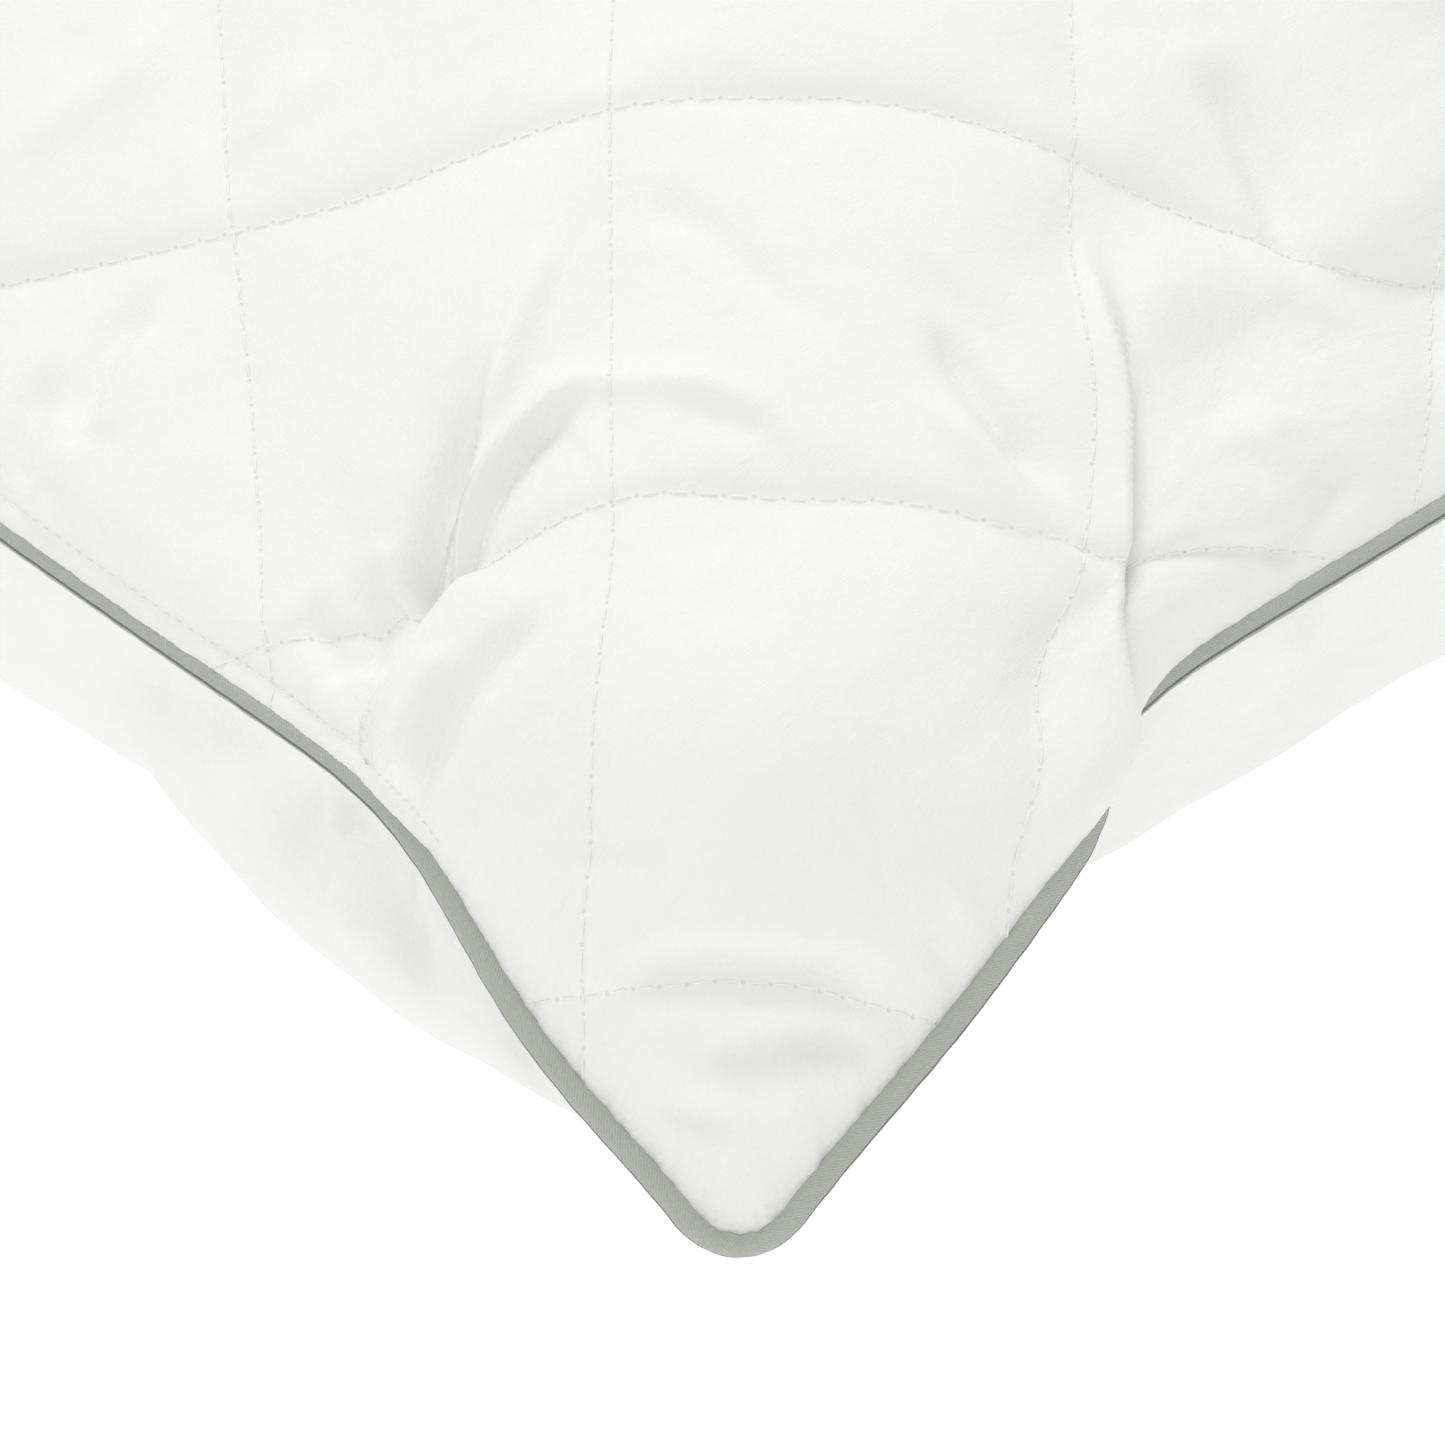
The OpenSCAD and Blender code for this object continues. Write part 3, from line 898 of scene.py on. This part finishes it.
def quilting_stitches(name, along_lines):
    """Every stitch of one family of quilting lines."""
    x, y = [], []
    reach = HALF_LENGTH + HALF_WIDTH
    first = FIRST_ALONG_LINE if along_lines else FIRST_CROSS_LINE
    run = np.arange(-reach, reach, STITCH_PITCH)
    for number in range(-LINES_EACH_WAY, LINES_EACH_WAY + 1):
        line = np.full_like(run, first + QUILT_PITCH * number)
        line_x, line_y = fabric_place(run, line) if along_lines else fabric_place(line, run)
        inside = edge_distance(line_x, line_y) > LINE_END_GAP + STITCH_LENGTH / 2
        x.append(line_x[inside])
        y.append(line_y[inside])
    heading = (-ROOT_HALF if along_lines else ROOT_HALF, ROOT_HALF)
    return stitch_row(name, np.concatenate(x), np.concatenate(y), heading, STITCH_LENGTH, THREAD_RADIUS)


def closing_stitches(name):
    """The short row that closes the front edge."""
    start = HALF_LENGTH - CLOSING_START
    x = np.arange(start - CLOSING_LENGTH, start, CLOSING_PITCH)
    y = np.full_like(x, -HALF_WIDTH + CLOSING_INSET)
    return stitch_row(name, x, y, (1, 0), CLOSING_STITCH, CLOSING_RADIUS)


def seam_line(fine_step, coarse_step):
    """Fabric places round the rounded outline, and how far along it each is from the near tip."""
    quarter = math.pi / 2
    arc = np.linspace(0, quarter, ARC_POINTS)
    dense = []
    for along, across, turns in ((1, -1, -1), (1, 1, 0), (-1, 1, 1), (-1, -1, 2)):
        x = along * (HALF_LENGTH - CORNER_ROUNDING) + CORNER_ROUNDING * np.cos(arc + turns * quarter)
        y = across * (HALF_WIDTH - CORNER_ROUNDING) + CORNER_ROUNDING * np.sin(arc + turns * quarter)
        dense += zip(x, y)
    dense = np.array(dense + dense[:1])
    travelled = np.concatenate([[0], np.cumsum(np.linalg.norm(np.diff(dense, axis=0), axis=1))])
    total = travelled[-1]
    tip = CORNER_ROUNDING * quarter / 2

    def from_near_tip(place):
        return min((place - tip) % total, (tip - place) % total)

    places = graded_places(total, from_near_tip, fine_step, coarse_step)[:-1]
    from_tip = (places - tip + total / 2) % total - total / 2
    return np.interp(places, travelled, dense[:, 0]), np.interp(places, travelled, dense[:, 1]), from_tip


def seam_frames(x, y):
    """The seam's points, and the directions out of the pillow and along the seam there."""
    seam = sewn_panels(x, y)[0]
    probe_depth, passes = 4.0, 4
    shrink = 1 - probe_depth / np.hypot(x, y)
    top, bottom = sewn_panels(x * shrink, y * shrink)
    along = unit(np.roll(seam, -1, axis=0) - np.roll(seam, 1, axis=0))
    outward = seam - (top + bottom) / 2
    outward = unit(outward - along * (outward * along).sum(1, keepdims=True))
    for _ in range(passes):
        outward = unit(np.roll(outward, 1, axis=0) + outward + np.roll(outward, -1, axis=0))
    return seam, outward, along


def seam_tube(name, radius, offset, sides, mesh_steps, gathered=False):
    """A closed tube that follows the seam, with its centre that far outside it."""
    x, y, from_tip = seam_line(*mesh_steps)
    seam, outward, along = seam_frames(x, y)
    around, angle = spokes(outward, np.cross(outward, along), sides)
    rings = np.full((len(x), sides), float(radius))
    if gathered:
        for place, depth in TAPE_PUCKERS:
            pinch = radius * depth * hump(from_tip, place, TAPE_PUCKER_REACH)
            rings -= pinch[:, None] * (TAPE_PUCKER_ROUND - TAPE_PUCKER_INWARD * np.cos(angle))
        wave = TAPE_WAVE * np.sin(from_tip * TAPE_WAVE_RATE)
        rings += wave[:, None] * np.sin(angle + from_tip[:, None] * TAPE_WAVE_TWIST)
    deeper = (FLANK_SINK - PIPING_SINK) * rise(np.abs(from_tip), *FLANK_SPAN)
    points = (seam + outward * (offset - deeper)[:, None])[:, None] + around * rings[..., None]
    number = np.arange(rings.size).reshape(rings.shape)
    following, beside_it = np.roll(number, -1, axis=0), np.roll(number, -1, axis=1)
    corners = (number, beside_it, np.roll(following, -1, axis=1), following)
    faces = np.stack([part.ravel() for part in corners], 1).tolist()
    run, turn = np.broadcast_arrays(from_tip[:, None], angle * radius)
    return new_object(name, points, faces, {"tape": np.stack([run, turn, turn * 0], -1)})


def inner_surfaces():
    """Grids of places just inside the finished top and underside, that stop short of the seam."""
    x = graded_line(HALF_LENGTH, 1, *LAYER_MESH) * (1 - LAYER_INSET / HALF_LENGTH)
    y = graded_line(HALF_WIDTH, -1, *LAYER_MESH) * (1 - LAYER_INSET / HALF_WIDTH)
    x, y = round_corners(*np.meshgrid(x, y))
    skin = COVER_CLEARANCE * (1 - np.exp(-edge_distance(x, y) / CLEARANCE_REACH))[..., None]
    layers = []
    for top in (True, False):
        points, normals = cover_surface(x, y, top)
        layers.append(points - normals * skin)
    return layers


def between(top, bottom, depth, most):
    """Points that far below the top, or at most that share of the way to the underside."""
    span = bottom - top
    # A tenth of a millimetre keeps the division safe where the panels meet
    thickness = np.maximum(np.linalg.norm(span, axis=-1, keepdims=True), 0.1)
    return top + span * np.minimum(depth / thickness, most)


def closed_layer(name, upper, lower):
    """A closed mesh between two grids of points."""
    rows, columns = upper.shape[:2]
    count = rows * columns
    faces = grid_faces(rows, columns) + grid_faces(rows, columns, count, flip=True)
    number = np.arange(count).reshape(rows, columns)
    rim = np.concatenate([number[0, :-1], number[:-1, -1], number[-1, :0:-1], number[:0:-1, 0]])
    after = np.roll(rim, -1)
    faces += np.stack([rim, rim + count, after + count, after], 1).tolist()
    return new_object(name, np.concatenate([upper.reshape(-1, 3), lower.reshape(-1, 3)]), faces)


# ---- materials ----


def shader_node(tree, kind, inputs=None, **settings):
    """A new node with its settings; an input given as a socket is linked, and anything else is its value."""
    made = tree.nodes.new("ShaderNode" + kind)
    for key, value in settings.items():
        setattr(made, key, value)
    for key, value in (inputs or {}).items():
        if isinstance(value, bpy.types.NodeSocket):
            tree.links.new(value, made.inputs[key])
        else:
            made.inputs[key].default_value = value
    return made


def maths(tree, operation, *values):
    """The result of one sum on sockets or numbers."""
    return shader_node(tree, "Math", dict(enumerate(values)), operation=operation).outputs[0]


def field_parts(tree, name):
    """The three numbers of a point field."""
    field = shader_node(tree, "Attribute", attribute_name=name)
    parts = shader_node(tree, "SeparateXYZ", {0: field.outputs["Vector"]})
    return field.outputs["Vector"], parts.outputs


def stretched_noise(tree, vector, scale, detail=2.0):
    """Noise over a field, finer along the axes with the bigger scale."""
    scaled = shader_node(tree, "VectorMath", {0: vector, 1: scale}, operation="MULTIPLY")
    inputs = {"Vector": scaled.outputs[0], "Scale": 1.0, "Detail": detail}
    return shader_node(tree, "TexNoise", inputs).outputs[0]


def weighted_sum(tree, *pairs):
    """The sum of sockets, each times its number."""
    total = None
    for socket, weight in pairs:
        part = maths(tree, "MULTIPLY", socket, weight)
        total = part if total is None else maths(tree, "ADD", total, part)
    return total


def new_material(name, colour, roughness, sheen):
    """A material, its node tree and its principled shader."""
    material = bpy.data.materials.new(name)
    material.use_nodes = True
    shader = material.node_tree.nodes["Principled BSDF"]
    shader.inputs["Base Color"].default_value = (*colour, 1)
    shader.inputs["Roughness"].default_value = roughness
    shader.inputs["Sheen Weight"].default_value = sheen
    shader.inputs["Specular IOR Level"].default_value = 0.3
    return material, material.node_tree, shader


def vary_colour(tree, shader, share, first, second):
    """Makes a shader's colour turn from one into another as share goes from 0 to 1."""
    mix = shader_node(tree, "Mix", {0: share, 6: (*first, 1), 7: (*second, 1)}, data_type="RGBA")
    tree.links.new(mix.outputs[2], shader.inputs["Base Color"])


def shaded(colour, factor):
    """A colour made darker or lighter."""
    return tuple(factor * part for part in colour)


def bump(tree, shader, height, distance):
    """Adds fine relief, with height in units of distance metres."""
    normal = shader_node(tree, "Bump", {"Height": height, "Distance": distance})
    tree.links.new(normal.outputs[0], shader.inputs["Normal"])


def sateen(name, quilted):
    """Fine white cotton with thread streaks, mottling and, on the top, needle holes along the quilting with
    painted shade in them.
    """
    material, tree, shader = new_material(name, WHITE_COTTON, roughness=0.62, sheen=0.12)
    fabric, _ = field_parts(tree, "fabric")
    warp = stretched_noise(tree, fabric, WARP_SCALE)
    weft = stretched_noise(tree, fabric, WEFT_SCALE)
    mottle = stretched_noise(tree, fabric, MOTTLE_SCALE, detail=4.0)
    height = weighted_sum(tree, (warp, 0.1), (weft, 0.07), (mottle, 0.5))
    if quilted:
        holes = needle_holes(tree)
        height = maths(tree, "SUBTRACT", height, maths(tree, "MULTIPLY", holes, NEEDLE_HOLE_DEPTH))
        # Painted shade: the cotton's colour is darkened inside the needle holes
        vary_colour(tree, shader, holes, WHITE_COTTON, shaded(WHITE_COTTON, NEEDLE_HOLE_PAINTED_SHADE))
    bump(tree, shader, height, MM)
    return material


def needle_holes(tree):
    """1 in the needle holes between the quilting stitches, 0 elsewhere; it sets both their dents and the
    painted shade in them.
    """
    _, parts = field_parts(tree, "quilt")
    found = 0.0
    for across, along, first in ((0, 1, FIRST_CROSS_LINE), (1, 0, FIRST_ALONG_LINE)):
        off_line = maths(tree, "PINGPONG", maths(tree, "SUBTRACT", parts[across], first), QUILT_PITCH / 2)
        shifted = maths(tree, "ADD", parts[along], STITCH_PITCH / 2 + HALF_LENGTH + HALF_WIDTH)
        off_hole = maths(tree, "PINGPONG", shifted, STITCH_PITCH / 2)
        squared = maths(tree, "ADD", maths(tree, "POWER", off_line, 2.0), maths(tree, "POWER", off_hole, 2.0))
        spot = maths(tree, "SUBTRACT", 1.0, maths(tree, "MULTIPLY", squared, NEEDLE_HOLE_FALL))
        found = maths(tree, "MAXIMUM", found, spot)
    return maths(tree, "MAXIMUM", found, 0.0)


def twill(name):
    """Folded grey cotton tape with fine diagonal ribs."""
    material, tree, shader = new_material(name, GREY_TWILL, roughness=0.75, sheen=0.1)
    tape, parts = field_parts(tree, "tape")
    slant = maths(tree, "ADD", parts[0], parts[1])
    rib = maths(tree, "SINE", maths(tree, "MULTIPLY", slant, 2 * math.pi / TWILL_PITCH))
    grain = stretched_noise(tree, tape, TWILL_GRAIN_SCALE)
    bump(tree, shader, weighted_sum(tree, (rib, 0.05), (grain, 0.12)), MM)
    share = weighted_sum(tree, (rib, 0.14), (grain, 0.6))
    vary_colour(tree, shader, share, shaded(GREY_TWILL, TWILL_DARK), shaded(GREY_TWILL, TWILL_LIGHT))
    return material


def plain_fibre(name, colour, grain, roughness=0.85):
    """A hidden fibre layer or a thread, with a fine random relief of grain metres."""
    material, tree, shader = new_material(name, colour, roughness, sheen=0.2)
    place = shader_node(tree, "TexCoord").outputs["Object"]
    noise = stretched_noise(tree, place, (1 / grain,) * 3, detail=4.0)
    bump(tree, shader, noise, grain * 0.4)
    vary_colour(tree, shader, noise, shaded(colour, 0.9), colour)
    return material


# ---- stage, lights and camera ----


def white_stage():
    """A plain white floor that gives its own even light, as a lit white table does."""
    mesh = bpy.data.meshes.new("floor")
    signs = ((-1, -1), (1, -1), (1, 1), (-1, 1))
    corners = [(x * FLOOR_HALF, y * FLOOR_HALF, FLOOR_HEIGHT) for x, y in signs]
    mesh.from_pydata(corners, [], [(0, 1, 2, 3)])
    floor = bpy.data.objects.new("floor", mesh)
    bpy.context.scene.collection.objects.link(floor)
    material, _, shader = new_material("floor_white", (FLOOR_GREY,) * 3, roughness=1.0, sheen=0.0)
    shader.inputs["Specular IOR Level"].default_value = 0.0
    shader.inputs["Emission Color"].default_value = (1, 1, 1, 1)
    shader.inputs["Emission Strength"].default_value = FLOOR_GLOW
    mesh.materials.append(material)


def direction_from(azimuth, elevation):
    """The direction from the pillow to a viewer; azimuth 0 stands in front and 90 at the right end."""
    a, e = math.radians(azimuth), math.radians(elevation)
    return Vector((math.sin(a) * math.cos(e), -math.cos(a) * math.cos(e), math.sin(e)))


def area_light(name, azimuth, elevation, distance, size, power):
    """A square soft light that faces the pillow."""
    data = bpy.data.lights.new(name, "AREA")
    data.size = size
    data.energy = power
    light = bpy.data.objects.new(name, data)
    bpy.context.scene.collection.objects.link(light)
    light.location = direction_from(azimuth, elevation) * distance
    light.rotation_euler = (-light.location).to_track_quat("-Z", "Y").to_euler()


def lighting():
    """Even white surroundings, a broad light high behind the left end, and a weaker one from the front."""
    world = bpy.data.worlds.new("surroundings")
    world.use_nodes = True
    background = world.node_tree.nodes["Background"]
    background.inputs["Color"].default_value = (1, 1, 1, 1)
    background.inputs["Strength"].default_value = WORLD_STRENGTH
    bpy.context.scene.world = world
    area_light("overhead", *KEY_LIGHT)
    area_light("front", *FILL_LIGHT)
    bpy.context.scene.view_settings.view_transform = "Standard"


def place_camera(tip):
    """A long lens that looks down at the front right corner, whose tip is below the picture's middle."""
    data = bpy.data.cameras.new("camera")
    data.sensor_width = SENSOR_WIDTH
    data.lens = SENSOR_WIDTH * CAMERA_DISTANCE / PICTURE_WIDTH
    data.clip_end = 20.0
    camera = bpy.data.objects.new("camera", data)
    bpy.context.scene.collection.objects.link(camera)
    back = direction_from(CAMERA_AZIMUTH, CAMERA_ELEVATION)
    camera.rotation_euler = back.to_track_quat("Z", "Y").to_euler()
    turn = camera.rotation_euler.to_matrix()
    middle = tip + turn @ Vector((-TIP_RIGHT_OF_MIDDLE, TIP_BELOW_MIDDLE, 0))
    camera.location = middle + back * CAMERA_DISTANCE
    bpy.context.scene.camera = camera


# ---- the build ----


def finish_piece(piece, material, node):
    """Gives a piece its material, hangs it on the pillow's root body, and hides the CAD node that it stands
    for.
    """
    piece.data.materials.append(material)
    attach(piece, "root")
    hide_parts(node)


def build_covers():
    """The quilted top and the plain underside."""
    top = cover_piece("quilted_top", True, TOP_MESH)
    finish_piece(top, sateen("sateen_quilted", True), "top_cover")
    bottom = cover_piece("plain_underside", False, BOTTOM_MESH)
    finish_piece(bottom, sateen("sateen_plain", False), "bottom_cover")


def build_layers():
    """The wadding and the lining under the top, and the filling."""
    top, bottom = inner_surfaces()
    sides = between(top, bottom, *WADDING_TOP), between(top, bottom, *WADDING_BOTTOM)
    wadding = closed_layer("wadding", *sides)
    wool = plain_fibre("wadding_white", (0.9, 0.9, 0.89), grain=0.003)
    finish_piece(wadding, wool, "top_wadding")
    lining_points = between(top, bottom, *LINING_DEPTH)
    lining = new_object("lining", lining_points, grid_faces(*lining_points.shape[:2]))
    cloth = plain_fibre("lining_white", (0.85, 0.85, 0.84), grain=0.001)
    finish_piece(lining, cloth, "top_lining")
    sides = between(top, bottom, *FILLING_TOP), between(bottom, top, *FILLING_BOTTOM)
    core = closed_layer("filling", *sides)
    fibre = plain_fibre("filling_white", (0.92, 0.92, 0.92), grain=0.004)
    finish_piece(core, fibre, "fill_core")


def build_piping():
    """The grey tape round its cord, and the thread of the seam."""
    offset = PIPING_RADIUS - PIPING_SINK
    tape = seam_tube("piping_tape_round", PIPING_RADIUS, offset, TAPE_SIDES, TAPE_MESH, gathered=True)
    finish_piece(tape, twill("twill_grey"), "piping_tape")
    cord = seam_tube("piping_cord_round", CORD_RADIUS, offset, CORD_SIDES, CORD_MESH)
    cotton = plain_fibre("cord_cotton", (0.8, 0.79, 0.75), grain=0.001)
    finish_piece(cord, cotton, "piping_cord")
    place = SEAM_THREAD_RADIUS, SEAM_THREAD_OFFSET
    thread = seam_tube("seam_thread_line", *place, SEAM_THREAD_SIDES, SEAM_THREAD_MESH)
    fine_cotton = plain_fibre("seam_cotton", (0.8, 0.8, 0.79), grain=0.0004)
    finish_piece(thread, fine_cotton, "seam_thread")


def build_stitches():
    """The two families of quilting lines and the closing row."""
    thread = plain_fibre("thread_white", (0.93, 0.93, 0.92), grain=0.0003, roughness=0.6)
    rows = (
        (quilting_stitches("quilting_along", True), "quilt_thread_along"),
        (quilting_stitches("quilting_across", False), "quilt_thread_across"),
        (closing_stitches("closing_stitches"), "closing_thread"),
    )
    for row, node in rows:
        finish_piece(row, thread, node)


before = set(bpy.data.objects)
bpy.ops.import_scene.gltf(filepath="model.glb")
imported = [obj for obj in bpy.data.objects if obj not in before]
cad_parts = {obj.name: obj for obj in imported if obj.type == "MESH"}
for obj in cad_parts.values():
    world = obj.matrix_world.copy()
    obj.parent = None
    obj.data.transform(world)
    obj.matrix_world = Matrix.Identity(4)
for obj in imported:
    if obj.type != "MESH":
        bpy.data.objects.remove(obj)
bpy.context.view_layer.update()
coarse = solve_cover(COARSE_STEP, COARSE_ROUNDS, COARSE_GUIDE_REACH)
solved = solve_cover(FINE_STEP, FINE_ROUNDS, FINE_GUIDE_REACH, [refine(panel) for panel in coarse])
ease_pleats(solved[0])
solved[1] += belly(*fabric_grid(FINE_STEP))
TOP, BOTTOM = (SmoothGrid(panel, FINE_STEP) for panel in solved)
WAVES, RIPPLES = noise_field(WAVE_SIZE, WAVE_SEED), noise_field(RIPPLE_SIZE, RIPPLE_SEED)

build_covers()
build_layers()
build_piping()
build_stitches()
white_stage()
lighting()
tip_x, tip_y = fabric_place(np.array(CORNER_ROUNDING * (math.sqrt(2) - 1)), np.array(0.0))
place_camera(Vector((sewn_panels(tip_x, tip_y)[0] * MM).tolist()))
